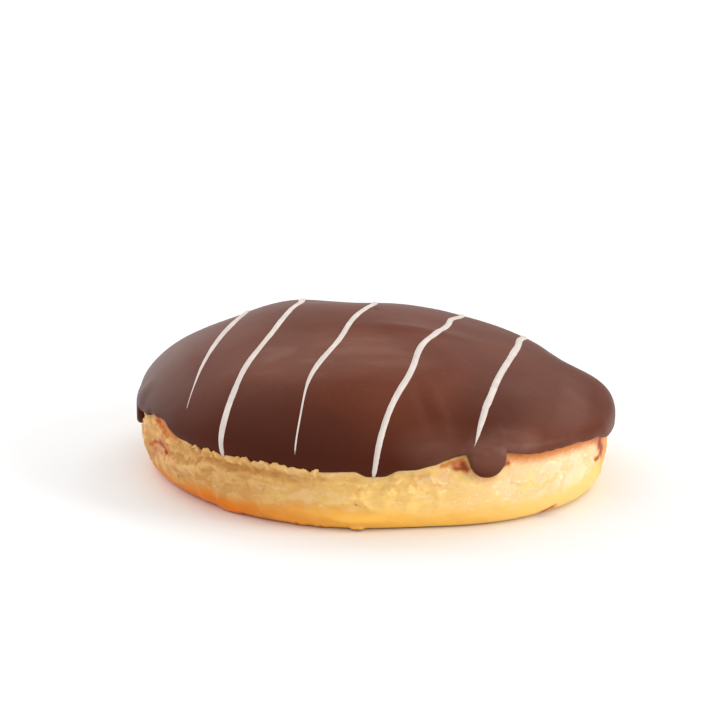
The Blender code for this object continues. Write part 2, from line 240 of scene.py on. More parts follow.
# Folds of the side: half width and rise in millimetres, then the line they follow as azimuth, height
folds = (
    (0.50, -1.3, ((-167, 14.6), (-164.1, 13.4), (-160.9, 12.2), (-157.6, 11.5), (-154.9, 10.9),
                  (-152, 10.0))),
    (0.45, -1.2, ((-164, 6.6), (-162.4, 7.7), (-158.1, 9.3), (-155.7, 9.1), (-153.7, 8.6), (-151.5, 8.9))),
    (0.40, -0.8, ((-151.5, 8.9), (-146.7, 9.3), (-144.2, 8.6), (-141, 9.2), (-137, 10.0))),
    (1.00, 0.9, ((-158, 5.9), (-150.4, 7.4), (-146.7, 7.7), (-144.4, 7.0), (-139, 8.2))),
    (1.20, 0.8, ((-170, 12.4), (-165, 10.6), (-160, 10.4))),
    (0.60, 0.7, ((-160, 13.6), (-156, 12.6), (-152, 11.7), (-147, 11.8))),
    (0.50, -0.7, ((-158.1, 14.9), (-155.5, 14.0), (-152.4, 12.6))),
    (0.80, -0.9, ((-133, 11.2), (-122, 10.9), (-113.4, 10.4), (-103.6, 9.2), (-94.6, 8.6), (-88, 9.0),
                  (-80, 10.0))),
    (1.20, 0.35, ((-134, 8.6), (-120, 8.4), (-106, 7.2), (-95, 6.9))),
    (0.45, -0.35, ((-140, 6.0), (-132, 5.2), (-126, 6.2))),
    (0.50, -0.3, ((-79, 8.4), (-74, 9.0), (-70, 8.6))),
    (0.35, 0.4, ((-81, 11.0), (-75.5, 10.5), (-70.6, 9.6))),
    (0.30, 0.3, ((-77, 11.4), (-74, 10.0), (-71.5, 9.2))),
    (0.35, 0.35, ((-88, 8.9), (-84, 9.6), (-81, 9.0))),
    (0.40, 0.3, ((-56, 8.8), (-51, 8.3), (-47, 8.9))),
    (0.60, -0.5, ((62, 9.4), (84, 8.8))),
    (0.60, -0.6, ((98, 10.4), (116, 7.0))),
    (0.60, -0.4, ((140, 9.0), (152, 10.2))),
)


def away_from(stops, azimuth, height, wander):
    """Millimetres from points of the side to a line of stops, which wanders a little."""
    middle = stops[len(stops) // 2][0]
    x = turn_between(azimuth, middle) * degree_run
    y = height / MM + wander * (np.sin(x * 1.7) + 0.6 * np.sin(x * 4.1))
    away = np.full_like(azimuth, np.inf)
    for (turn_a, y_a), (turn_b, y_b) in zip(stops, stops[1:] or stops):
        x_a, x_b = (turn_a - middle) * degree_run, (turn_b - middle) * degree_run
        run, climb = x_b - x_a, y_b - y_a
        along = np.clip(((x - x_a) * run + (y - y_a) * climb) / max(run * run + climb * climb, 1e-6), 0, 1)
        away = np.minimum(away, np.hypot(x - x_a - along * run, y - y_a - along * climb))
    return away


def bread_forms(points, azimuth, height):
    """How far the lumps, crags and ledges of the pale side stand out, and where it is torn, 0 to 1."""
    edge = edge_height(azimuth)
    torn = np.full_like(azimuth, smooth_torn)
    for centre, reach in torn_stretches:
        torn += near(azimuth, centre, reach)
    torn = np.minimum(torn, 1)
    out = crag_rise * (1 - 3 * np.abs(grain(points, crag_size))) * torn
    elsewhere = Vector((7, 3, 1))
    out += lump_rise * np.array([noise.noise(Vector(p) / lump_size + elsewhere) for p in points])
    for centre, reach, ledge_height, half, amount in ledges:
        out += amount * near(azimuth, centre, reach) * swell(height - ledge_height, half)
    band = ease(0.6 * MM, 3 * MM, height) * (1 - ease(edge - 2.4 * MM, edge - 0.9 * MM, height))
    return out * band, torn


def bread_detail(points, azimuth, height, torn):
    """How far the flakes, creases, pores and folds of the pale side stand out or cut in."""
    edge = edge_height(azimuth)
    near_edge = 1 - ease(edge - 0.6 * MM, edge + 1.0 * MM, height)
    upper = ease(3.5 * MM, 8.5 * MM, height) * near_edge
    flaky = torn * upper
    layered = points * flake_stretch
    out = flake_rise * flaky * (0.5 - 2.2 * np.abs(grain(layered, flake_size, 3)))
    out += chip_rise * flaky * grain(layered, chip_size, 5)
    out += dent_rise * upper * grain(points, dent_size, 9)
    pores = 1 - ease(0.12, 0.42, cells(points, pore_size))
    pored = (0.35 + 0.65 * torn) * ease(-0.1, 0.5, grain(points, pored_size, 11))
    out -= pore_depth * pores * upper * pored
    out += crumb_rise * ease(0.3 * MM, 2 * MM, height) * near_edge * grain(points, crumb_size, 13)
    for half, rise, stops in folds:
        away = away_from(stops, azimuth, height, fold_wander)
        out += rise * MM * np.exp(-(away / half) ** 2) * near_edge
    return out


def torn_rim(points, azimuth, height):
    """The ragged lip of crumb that stands in front of the coat's edge where the side is torn."""
    stretch = sum(near(azimuth, centre, reach) for centre, reach in rim_stretches)
    round_line = on_round(azimuth, mean_radius)
    ragged = 0.8 * grain(round_line, wide_teeth * MM, 21) + 0.8 * grain(round_line, teeth * MM, 23)
    ragged += 0.4 * grain(round_line, fine_teeth * MM, 27)
    crest = edge_height(azimuth) + (rim_above + rim_above_uneven * ragged) * MM
    stand = rim_out + rim_out_uneven * grain(points, rim_lump_size * MM, 25)
    stand = stand * MM * np.minimum(stretch, 1)
    over = 1 - ease(crest - 0.1 * MM, crest + 0.5 * MM, height)
    return stand * ease(crest - 2.4 * MM, crest - 0.4 * MM, height) * over


# The mesh: few rings under the coat and on the flat base, and many down the side
bun_segments = 1200
dome_rings, side_rings, base_rings = 9, 64, 7
bun, azimuth, ring = round_of("bun", bun_segments, dome_rings + side_rings + base_rings)
high_level = 0.88
ring_level = np.concatenate([
    side_levels(0, high_level, dome_rings),
    side_levels(high_level, 2, side_rings)[1:],
    np.full(base_rings, 2),
])
level = np.interp(ring, np.arange(len(ring_level)), ring_level)
to_middle = np.clip((ring - dome_rings - side_rings) / base_rings, 0, 1)
form = bun_point(azimuth, level) * np.stack([1 - to_middle, 1 - to_middle, np.ones_like(ring)], -1)
outward = bun_normal(azimuth, level)
side = (level > high_level) & (to_middle == 0)
relief = np.zeros_like(ring)
raised = np.zeros_like(ring)
bare, turned, rise = form[side], azimuth[side], form[side][:, 2]
lumps, torn = bread_forms(bare, turned, rise)
detail = bread_detail(bare, turned, rise, torn)
rim = torn_rim(bare, turned, rise)
relief[side] = np.maximum(lumps + detail, rim)
raised[side] = detail / MM + 0.45 * (rim > lumps + detail)
form += outward * relief[:, None]
# Bits that stand out at the very foot: azimuth, half width in degrees, how far
foot_bits = (
    (-131, 4, 0.6 * MM), (-109, 2, 0.4 * MM), (-103, 2, 0.4 * MM), (-93.4, 1.8, 1.1 * MM),
    (40, 3, 0.5 * MM),
)
bits = sum(out * near(azimuth, at, reach) for at, reach, out in foot_bits)
bits = bits * (1 - ease(0.3 * MM, 1.6 * MM, form[:, 2])) * (to_middle == 0)
form[:, 0] += bits * np.cos(np.radians(azimuth))
form[:, 1] += bits * np.sin(np.radians(azimuth))
form[:, 2] = np.maximum(form[:, 2], 0)
# The doughnut's origin lies under the middle of its box, a little off the middle of this form
plate_shift = np.array((-0.635 * MM, -0.778 * MM, 0))
set_points(bun, form + plate_shift)

# Marks on the side: half width in millimetres, how strong, then the line they follow as azimuth, height
brown_marks = (
    (0.45, 0.8, ((-167.0, 7.4), (-162.4, 8.8), (-158.6, 9.3))),
    (0.85, 0.95, ((-159.0, 9.2), (-156.4, 8.7), (-154.4, 7.3))),
    (0.35, 1.0, ((-151.6, 4.0), (-150.7, 3.6))),
    (0.22, 0.8, ((-154.6, 4.6), (-153.8, 4.5))),
    (0.28, 0.8, ((-158.4, 14.1), (-156.4, 13.3))),
    (0.55, 0.8, ((-70.3, 12.5), (-68.6, 12.2))),
    (0.95, 0.95, ((-68.6, 13.0), (-67.9, 12.3))),
    (0.45, 0.9, ((-59.2, 12.1), (-57.8, 12.7))),
    (1.60, 1.0, ((-24.6, 10.2), (-23.6, 8.8))),
    (0.60, 0.9, ((-24.0, 8.2), (-27.6, 8.1))),
    (0.42, 0.9, ((-45.1, 0.9), (-42.3, 1.4))),
    (0.20, 0.8, ((-93.9, 5.6), (-93.4, 5.6))),
    (0.18, 0.8, ((-92.6, 5.4),)),
    (0.30, 0.8, ((-126.5, 0.4), (-125.3, 0.4))),
    (0.30, 0.8, ((-109.8, 0.6), (-108.8, 0.6))),
    (0.28, 0.8, ((-103.2, 0.4), (-102.4, 0.5))),
    (0.30, 0.6, ((-94.5, 0.3), (-92.5, 0.3))),
    (0.50, 0.8, ((63, 3.8), (65, 4.3))),
    (0.40, 0.8, ((120, 1.2), (122, 1.2))),
    (0.45, 0.7, ((154.5, 8.3), (155.6, 7.8))),
)
red_films = (
    (0.90, 0.8, ((-165.4, 6.9), (-160.8, 7.4), (-157.3, 7.1))),
    (0.80, 0.7, ((-160.1, 9.7), (-155.7, 9.5), (-153.0, 8.2))),
    (1.10, 0.6, ((-170.2, 5.0), (-163.6, 5.8))),
    (1.50, 0.5, ((-158.0, 11.0), (-154.0, 9.6))),
    (3.20, 0.42, ((-164.0, 9.0), (-149.0, 7.2))),
    (1.00, 1.0, ((-70.4, 13.0), (-68.2, 12.9))),
    (0.90, 0.8, ((-30.0, 12.4), (-26.5, 12.1), (-18.0, 10.6))),
    (0.70, 0.7, ((-46.0, 0.8), (-41.5, 1.5))),
    (0.60, 0.6, ((-152.8, 4.9), (-150.5, 4.3))),
    (0.80, 0.5, ((84, 12.0), (92, 12.2))),
)
orange_streaks = (
    (0.60, 1.0, ((-159.4, 14.2), (-156.6, 13.5), (-154.2, 12.7), (-152.2, 11.8))),
    (0.70, 0.9, ((-73.4, 13.0), (-71.1, 13.7), (-69.0, 14.2))),
    (5.00, 0.75, ((-19.0, 8.5), (-14.0, 8.0))),
    (8.00, 0.42, ((-12.0, 8.0), (6.0, 6.0))),
    (1.60, 0.4, ((-80.0, 11.4), (-72.0, 11.2))),
    (0.70, 0.5, ((-175, 11.6), (-168, 10.6), (-163, 10.4))),
    (0.50, 0.7, ((-58.8, 13.0), (-56.5, 13.9))),
)


def painted(table):
    """How strongly the marks of a table cover each point of the side, 0 to 1."""
    cover = np.zeros_like(azimuth)
    for half, strength, stops in table:
        away = away_from(stops, azimuth, form[:, 2], mark_wander)
        cover = np.maximum(cover, strength * np.exp(-(away / half) ** 2))
    return cover * side


# Caramel stain and painted shade just under the coat's edge, stronger in two stretches
caramel_and_shade_reach = 2.0
below_edge = (edge_height(azimuth) - form[:, 2]) / MM
stain_and_shade_strength = 0.3 + 0.7 * near(azimuth, -38, 26) + 0.7 * near(azimuth, -152, 6)
caramel_and_lip_shade = np.exp(-(np.maximum(below_edge - 0.2, 0) / caramel_and_shade_reach) ** 2) * np.minimum(stain_and_shade_strength, 1) * side
caramel_and_lip_shade = np.maximum(caramel_and_lip_shade, painted(orange_streaks))
torn_side = near(azimuth, -122, 34) + near(azimuth, 92, 26)
rough_crumb = torn_side * ease(3.5 * MM, 8 * MM, form[:, 2]) * side
marks = bun.data.color_attributes.new("marks", "FLOAT_COLOR", "POINT")
colours = np.stack([caramel_and_lip_shade, painted(brown_marks), painted(red_films), rough_crumb], -1)
marks.data.foreach_set("color", colours.astype(np.float32).ravel())

# How high the orange crust reaches up the side: azimuth in degrees, height in millimetres
crust_heights = (
    (-180, 2.0), (-160, 2.7), (-149, 3.0), (-138, 3.7), (-122, 4.0), (-108, 4.6), (-95, 4.8),
    (-78, 4.0), (-63, 4.1), (-48, 4.6), (-34, 5.4), (-27, 7.7), (-21, 11.0), (-8, 12.0), (6, 9.0),
    (20, 6.0), (60, 4.5), (100, 5.5), (140, 4.0), (180, 2.0),
)
crust_line = np.interp(azimuth, *zip(*crust_heights)) * MM
above_crust = bun.data.attributes.new("above_crust", "FLOAT", "POINT")
above_crust.data.foreach_set("value", (form[:, 2] - crust_line).astype(np.float32))
bun.data.attributes.new("raised", "FLOAT", "POINT").data.foreach_set("value", raised.astype(np.float32))
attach(bun, "root")
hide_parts("dough")


class Wire:
    """A value in a finish, so that shader sums are written as sums."""

    def __init__(self, finish, socket):
        self.finish = finish
        self.socket = socket

    def math(self, operation, first, second):
        return self.finish.add("ShaderNodeMath", {"operation": operation}, {0: first, 1: second})

    def __add__(self, other):
        return self.math("ADD", self, other)

    def __radd__(self, other):
        return self.math("ADD", other, self)

    def __sub__(self, other):
        return self.math("SUBTRACT", self, other)

    def __rsub__(self, other):
        return self.math("SUBTRACT", other, self)

    def __mul__(self, other):
        return self.math("MULTIPLY", self, other)

    def __rmul__(self, other):
        return self.math("MULTIPLY", other, self)

    def __truediv__(self, other):
        return self.math("DIVIDE", self, other)

    def __or__(self, other):
        return self.math("MAXIMUM", self, other)


class Finish:
    """A material made of nodes on a Principled shader."""

    def __init__(self, name, **constants):
        self.material = bpy.data.materials.new(name)
        self.material.use_nodes = True
        self.tree = self.material.node_tree
        self.shader = self.tree.nodes["Principled BSDF"]
        for socket, value in constants.items():
            self.shader.inputs[socket.replace("_", " ")].default_value = value
        self.place = self.add("ShaderNodeTexCoord", output="Object")

    def add(self, kind, settings=None, inputs=None, output=0):
        """One node: its settings first, then the values or wires of its sockets."""
        node = self.tree.nodes.new(kind)
        for key, value in (settings or {}).items():
            setattr(node, key, value)
        for key, value in (inputs or {}).items():
            if isinstance(value, Wire):
                self.tree.links.new(value.socket, node.inputs[key])
            else:
                node.inputs[key].default_value = value
        return Wire(self, node.outputs[output])

    def axis(self, name):
        """One coordinate of the point, in metres."""
        return self.add("ShaderNodeSeparateXYZ", None, {0: self.place}, name)

    def step(self, value, low, high):
        """0 below low, 1 above high, smooth between."""
        return self.add("ShaderNodeMapRange", {"interpolation_type": "SMOOTHSTEP"},
                        {"Value": value, "From Min": low, "From Max": high})

    def grain(self, size, detail, roughness=0.55, shift=0.0, stretch=(1, 1, 1)):
        """Fractal noise from 0 to 1, with lumps of a size in metres."""
        spot = self.add("ShaderNodeMapping", None,
                        {0: self.place, "Location": (shift, shift, shift), "Scale": stretch})
        return self.add("ShaderNodeTexNoise", None,
                        {"Vector": spot, "Scale": 1 / size, "Detail": detail, "Roughness": roughness})

    def cells(self, size):
        """Distance to the nearest of scattered seeds."""
        return self.add("ShaderNodeTexVoronoi", None, {"Vector": self.place, "Scale": 1 / size}, "Distance")

    def blend(self, share, first, second):
        """Two colours mixed."""
        return self.add("ShaderNodeMix", {"data_type": "RGBA"}, {0: share, 6: first, 7: second}, 2)

    def bump(self, height, distance, strength, under=None):
        """Surface bumps of a depth in metres, over those under them."""
        sockets = {"Height": height, "Distance": distance, "Strength": strength}
        if under:
            sockets["Normal"] = under
        return self.add("ShaderNodeBump", None, sockets)

    def wear(self, piece, **sockets):
        """Links what varies and gives the finish to a piece."""
        for socket, wire in sockets.items():
            self.tree.links.new(wire.socket, self.shader.inputs[socket.replace("_", " ")])
        piece.data.materials.clear()
        piece.data.materials.append(self.material)


def seen(red, green, blue):
    """A colour as the eye reads it, 0 to 255, as the shader's linear colour."""
    shares = [part / 255 for part in (red, green, blue)]
    return tuple(c / 12.92 if c < 0.04045 else ((c + 0.055) / 1.055) ** 2.4 for c in shares) + (1.0,)


crust = Finish("baked_bun", IOR=1.4, Specular_IOR_Level=0.35, Subsurface_Weight=0.1, Subsurface_Scale=0.0015)
crust.shader.inputs["Subsurface Radius"].default_value = (1.0, 0.55, 0.25)
# The pale side: tan at the left, cream at the right, and golden between them. The darker tan at the left is
# partly the bun's own browner colour and partly painted shade, where less light falls; the golden crust and
# foot below follow the same share
across = crust.axis("X")
wander = crust.grain(9 * MM, 4)
right = crust.step(across + (wander - 0.5) * (20 * MM), -30 * MM, 36 * MM)
between = right * (1 - right) * 2.6
pale = crust.blend(right, seen(204, 153, 86), seen(242, 204, 158))
pale = crust.blend(between, pale, seen(254, 212, 112))
streaks = crust.step(crust.grain(3.2 * MM, 5, 0.6, 0.2, (0.6, 0.6, 1.6)), 0.40, 0.66)
tan = crust.blend(right, seen(204, 148, 78), seen(238, 196, 122))
pale = crust.blend(streaks * (0.75 - 0.6 * between), pale, tan)
# Fine pale grains, creamy flecks and yellowed spots
fine = crust.grain(0.9 * MM, 4, 0.6)
pale_grains = crust.blend(right, seen(232, 190, 124), seen(250, 226, 190))
pale = crust.blend(crust.step(fine, 0.52, 0.68) * 0.4, pale, pale_grains)
flecks = crust.step(crust.grain(1.3 * MM, 3, 0.6, 0.9, (0.6, 0.6, 1.5)), 0.60, 0.68)
pale = crust.blend(flecks * (0.15 + 0.4 * right), pale, seen(255, 240, 206))
yellowed = crust.step(crust.grain(2.4 * MM, 3, 0.6, 1.3, (0.6, 0.6, 1.2)), 0.52, 0.64)
pale = crust.blend(yellowed * (0.1 + 0.3 * right), pale, seen(250, 214, 108))
# Flakes that stand out are paler, and creases darker: partly the torn crumb's own colour, partly painted
# highlight on what stands out and painted shade in the creases
raised_by = crust.add("ShaderNodeAttribute", {"attribute_name": "raised"}, None, "Fac")
pale = crust.blend(crust.step(raised_by, 0.1, 0.7) * 0.6, pale, pale_grains)
crease_shade = crust.blend(right, seen(214, 162, 98), seen(238, 196, 116))
pale = crust.blend((1 - crust.step(raised_by, -1.0, 0.0)) * 0.5, pale, crease_shade)
# The golden crust round the foot, deepest at the very foot
above = crust.add("ShaderNodeAttribute", {"attribute_name": "above_crust"}, None, "Fac")
low_gold = 1 - crust.step(above + (wander - 0.5) * (4 * MM), -1.6 * MM, 1.4 * MM)
gold = crust.blend(right, seen(220, 126, 22), seen(250, 202, 120))
gold = crust.blend(between, gold, seen(255, 202, 84))
skin = crust.blend(low_gold, pale, gold)
foot_wander = (crust.grain(6 * MM, 3, 0.5, 0.3) - 0.5) * (4 * MM)
foot = 1 - crust.step(crust.axis("Z") + foot_wander, 0.2 * MM, 2.6 * MM)
golden_foot = crust.blend(right, seen(238, 124, 16), seen(255, 210, 112))
golden_foot = crust.blend(between, golden_foot, seen(255, 204, 82))
skin = crust.blend(foot * 0.8, skin, golden_foot)
# Painted shade in small pits, in patches
shaded_pits = 1 - crust.step(crust.cells(1.3 * MM), 0.10, 0.28)
shaded_pits = shaded_pits * (1 - low_gold) * crust.step(crust.grain(5 * MM, 2, 0.5, 0.7), 0.5, 0.65)
skin = crust.blend(shaded_pits * 0.5, skin, seen(206, 150, 76))
# The painted marks, with torn edges: caramel stain and painted shade under the coat, thin red films, then
# brown marks
painted_marks = crust.add("ShaderNodeAttribute", {"attribute_name": "marks"}, None, "Color")
caramel_and_shade_share = crust.add("ShaderNodeSeparateColor", None, {0: painted_marks}, "Red")
brown_share = crust.add("ShaderNodeSeparateColor", None, {0: painted_marks}, "Green")
film_share = crust.add("ShaderNodeSeparateColor", None, {0: painted_marks}, "Blue")
crumb_share = crust.add("ShaderNodeAttribute", {"attribute_name": "marks"}, None, "Alpha")
torn_edges = (crust.grain(0.8 * MM, 3, 0.6, 0.5) - 0.5) * 0.8
skin = crust.blend(crust.step(caramel_and_shade_share + torn_edges * 0.5, 0.15, 1.0) * 0.9, skin, seen(206, 112, 38))
skin = crust.blend(crust.step(film_share + torn_edges * 0.6, 0.1, 0.9) * 0.75, skin, seen(190, 110, 76))
blotches = (crust.grain(2.2 * MM, 3, 0.6, 0.8) - 0.5) * 0.9
brown_share = brown_share + torn_edges * 0.5 + blotches * 0.6
skin = crust.blend(crust.step(brown_share, 0.08, 0.6) * 0.7, skin, seen(206, 100, 34))
skin = crust.blend(crust.step(brown_share, 0.4, 0.95) * 0.85, skin, seen(132, 46, 10))
# Bumps too fine for the mesh, rougher where the crumb is torn
roughened = 0.35 + 0.65 * crumb_share
layers = crust.grain(1.8 * MM, 4, 0.6, 0.4, (0.8, 0.8, 1.8))
crust_bumps = crust.bump(crust.grain(0.5 * MM, 4, 0.6) * roughened, 0.15 * MM, 0.5)
crust_bumps = crust.bump(layers * roughened, 0.7 * MM, 0.7, crust_bumps)
crust_bumps = crust.bump((1 - crust.cells(1.2 * MM)) * crumb_share, 0.4 * MM, 0.35, crust_bumps)
crust.wear(bun, Base_Color=skin, Roughness=0.42 + 0.25 * fine, Normal=crust_bumps)

# Crumbs: bits of the torn bun that stand on the ragged ledge, just in front of the coat's edge.
# They are the same baked dough, broken small, each of its own size and shape.
chance = np.random.default_rng(12)
noise.seed_set(12)
# How many crumbs, and from which azimuth to which
crumb_rows = ((20, -140, -99), (7, 113, 135))
# In millimetres: spread up and down, how far in front of the bun and its spread, half sizes
crumb_spread = 0.3
crumb_out = 1.35
crumb_out_spread = 0.15
smallest_crumb = 0.3
largest_crumb = 0.6
crumb_ruggedness = 0.3
crumb_lump_size = 0.6
# Levels of the side that the coat's edge runs between
levels = np.linspace(0.8, 1.4, 200)
bpy.ops.object.select_all(action="DESELECT")
crumbs = []
for count, start_azimuth, end_azimuth in crumb_rows:
    for _ in range(count):
        at = chance.uniform(start_azimuth, end_azimuth)
        crumb_height = edge_height(at) + crumb_spread * chance.normal() * MM
        line = bun_point(np.full_like(levels, at), levels)
        nearest = np.argmin(np.abs(line[:, 2] - crumb_height))
        forward = (crumb_out + crumb_out_spread * chance.normal()) * MM
        spot = line[nearest] + bun_normal(at, levels[nearest]) * forward + plate_shift
        size = chance.uniform(smallest_crumb, largest_crumb) * MM
        bpy.ops.mesh.primitive_ico_sphere_add(
            subdivisions=2, radius=size, location=spot, rotation=chance.uniform(0, pi, 3),
            scale=chance.uniform(0.4, 1.5, 3))
        crumbs.append(bpy.context.active_object)
for crumb in crumbs:
    crumb.select_set(True)
bpy.ops.object.join()
flakes = bpy.context.active_object
flakes.name = "crumbs"
bpy.ops.object.transform_apply(location=True, rotation=True, scale=True)
for vertex in flakes.data.vertices:
    vertex.co += crumb_ruggedness * MM * Vector(noise.noise_vector(vertex.co / (crumb_lump_size * MM)))
flakes.data.shade_smooth()
point_count = len(flakes.data.vertices)
no_marks_all_crumb = (0, 0, 0, 1)
marks = flakes.data.color_attributes.new("marks", "FLOAT_COLOR", "POINT")
marks.data.foreach_set("color", np.tile(no_marks_all_crumb, point_count))
# The crumbs count as raised, so they take the paler colour and painted highlight of flakes that stand out
for attribute, value in (("above_crust", edge_level / 2), ("raised", 0.4)):
    layer = flakes.data.attributes.new(attribute, "FLOAT", "POINT")
    layer.data.foreach_set("value", np.full(point_count, value))
crust.wear(flakes)
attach(flakes, "root")
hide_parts("dough")

# The coat: melted chocolate poured over the bun and set. It is thin at the left, thicker at the
# right end, has a rounded lip that ran down into one thick drip at the front right, and a raised
# notch at the left where it didn't reach.
coat_gap = 0.4 * MM
coat_thickness = 1.1 * MM
extra_right = 0.45 * MM
# The lip is a little thicker, from one share of the way down to another
lip_bead = 0.2 * MM
lip_from, lip_to = 0.86, 0.97
# The coat is laid on as a flat round, which is pulled to the edge's shape only near its edge
sheet_radius = 50 * MM
edge_pull = 12
# Where the lip is thicker or thinner: azimuth, half width in degrees, how much
lip_swellings = ((88, 25, -0.04 * MM), (-176, 7, 0.5 * MM), (-63.4, 4.3, 0.6 * MM), (-14, 12, -0.55 * MM))
# How deep the coat's underside beds into the bun
bedded = -0.25 * MM
# Unevenness of the poured surface and of the lip's line: how far, and how wide its lumps are
wave_rise, wave_size = 0.22 * MM, 17 * MM
ripple_rise, ripple_size = 0.07 * MM, 6 * MM
lip_bend, lip_bend_size = 0.22 * MM, 4.5 * MM
lip_shake, lip_shake_size = 0.1 * MM, 1.7 * MM
# Humps and hollows of the poured surface, on the flat round: X, Y, lean in degrees, half length,
# half width and rise, all in millimetres
pour_marks = (
    (9, -9, 10, 9, 1.8, 0.32), (13, -3, 0, 9, 3.5, -0.25), (12.5, -38, -75, 7, 1.4, 0.3),
    (10, -38, -75, 7, 1.4, -0.3), (29, -28, 45, 8, 3, 0.28), (24, -22, 45, 9, 3, -0.22),
    (-36, -6, 100, 10, 2, 0.3), (-30, -30, -45, 8, 4, 0.2), (-8, 20, 30, 12, 5, 0.3),
    (20, 25, -30, 10, 4, -0.3), (-28, 22, 60, 9, 4, 0.25), (36, 8, 80, 9, 3, 0.2),
)


def walk_levels(azimuth, share, beyond):
    """Levels that lie a share of the way from the crown to the coat's edge, and so far past that."""
    columns, column = np.unique(np.round(azimuth, 2), return_inverse=True)
    order = np.argsort(column, kind="stable")
    result = np.empty_like(share)
    samples = 241
    level = np.linspace(0, 2, samples)
    for turn, group in zip(columns, np.split(order, np.flatnonzero(np.diff(column[order])) + 1)):
        line = bun_point(np.full_like(level, turn), level)
        walked = np.append(0, np.cumsum(np.linalg.norm(np.diff(line, axis=0), axis=1)))
        real = np.interp(-edge_height(turn), -line[:, 2], walked)
        plain = np.interp(-edge_level, -line[:, 2], walked)
        out = share[group]
        reached = out * plain + out ** edge_pull * (real - plain) + beyond[group]
        result[group] = np.interp(reached, walked, level)
    return result


def laid(azimuth, share, lift, beyond=None):
    """Points of the poured round, laid over the bun at a height above it."""
    azimuth, share = np.asarray(azimuth, float), np.asarray(share, float)
    level = walk_levels(azimuth, share, np.zeros_like(share) if beyond is None else beyond)
    return bun_point(azimuth, level) + bun_normal(azimuth, level) * np.asarray(lift)[:, None]


def coat_depth(azimuth, share):
    """Thickness of the coat."""
    right = extra_right * np.cos(np.radians(azimuth)) * share
    bead = lip_bead + sum(more * near(azimuth, at, reach) for at, reach, more in lip_swellings)
    return coat_thickness + right + bead * ease(lip_from, lip_to, share)


def pour_relief(azimuth, share):
    """Slow humps and hollows of the poured surface, fading at the lip."""
    flat = on_round(azimuth, share) * sheet_radius
    rise = wave_rise * grain(flat, wave_size, 31) + ripple_rise * grain(flat, ripple_size, 33)
    for mark_x, mark_y, mark_lean, half_length, half_width, amount in pour_marks:
        x, y = flat[:, 0] / MM - mark_x, flat[:, 1] / MM - mark_y
        c, s = cos(radians(mark_lean)), sin(radians(mark_lean))
        along, aside = (x * c + y * s) / half_length, (y * c - x * s) / half_width
        rise += amount * MM * np.exp(-along ** 2 - aside ** 2)
    return rise * (1 - ease(0.93, 1.0, share))


def coat_lift(azimuth, share):
    """Height of the coat's upper face over the bun."""
    return coat_gap + coat_depth(azimuth, share) + pour_relief(azimuth, share)


coat_segments = 720
outer_rings, rim_rings, inner_rings = 84, 14, 10
coat, azimuth, ring = round_of("chocolate", coat_segments, outer_rings + rim_rings + inner_rings)
# The rings lie closer together towards the lip
outer_crowding, inner_crowding = 1.35, 0.7
outer_share = 1 - (1 - np.arange(outer_rings + 1) / outer_rings) ** outer_crowding
inner_share = (1 - np.arange(1, inner_rings + 1) / inner_rings) ** inner_crowding
shares = np.concatenate([outer_share, np.ones(rim_rings), inner_share])
half_turn = np.linspace(0, pi, rim_rings + 1)
rim_turn = np.concatenate([np.zeros(outer_rings), half_turn, np.full(inner_rings, pi)])
share = np.interp(ring, np.arange(len(shares)), shares)
turn = np.interp(ring, np.arange(len(shares)), rim_turn)
half = (coat_lift(azimuth, share) - bedded) / 2
lift = bedded + half + half * np.cos(turn)
round_line = on_round(azimuth, mean_radius)
uneven = lip_bend * grain(round_line, lip_bend_size, 41) + lip_shake * grain(round_line, lip_shake_size, 43)
past = half * (np.sin(turn) - 1) * share ** 8 + uneven * share ** 20
set_points(coat, laid(azimuth, share, lift, past) + plate_shift)
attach(coat, "root")
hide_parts("chocolate_coat")

chocolate = Finish("set_chocolate", IOR=1.46, Specular_IOR_Level=0.1)
cloudy = chocolate.grain(14 * MM, 3, 0.5)
brown = chocolate.blend(chocolate.step(cloudy, 0.35, 0.7), seen(95, 46, 28), seen(103, 53, 35))
speckle = chocolate.grain(0.9 * MM, 3, 0.6)
brown = chocolate.blend(chocolate.step(speckle, 0.55, 0.75) * 0.2, brown, seen(122, 72, 52))
# Painted shade: the coat is darker low down, most of all towards the left, where less light reaches it
shade_low_down = 1 - chocolate.step(chocolate.axis("Z"), 13 * MM, 27 * MM)
shade_leftward = 1 - chocolate.step(chocolate.axis("X"), 2 * MM, 30 * MM)
brown = chocolate.blend(shade_low_down * (0.25 + 0.75 * shade_leftward), brown, seen(73, 28, 12))


def patch(x, up, half_x, half_up, lean=0.0, axis="Z"):
    """A soft patch on the coat: its middle and half sizes along X and another axis, and its lean."""
    beside = chocolate.axis("X") / MM - x
    off_x = beside / half_x
    off_up = (chocolate.axis(axis) / MM - up - beside * lean) / half_up
    return 1 - chocolate.step(off_x * off_x + off_up * off_up, 0.0, 1.0)


on_front = 1 - chocolate.step(chocolate.axis("Y"), -20 * MM, -5 * MM)
# Painted sheen: greyish, smeared patches of reflected light, four at the front right and one on the front of
# the crown
painted_sheen = patch(23, 15.5, 10, 4.5) | patch(36, 17.3, 10, 5, 0.8) * 0.3
painted_sheen = painted_sheen | patch(31, 13.2, 12, 2.5, 0.2) * 0.3 | patch(11, 16.5, 9, 5) * 0.4
painted_sheen = painted_sheen * on_front | patch(-8, -21.5, 24, 11, -0.15, "Y") * 0.75
smeared = chocolate.step(chocolate.grain(6 * MM, 4, 0.6, 0.3, (0.5, 1.3, 1.3)), 0.42, 0.66)
brown = chocolate.blend(painted_sheen * (0.7 + 0.6 * smeared) * 0.36, brown, seen(148, 110, 97))
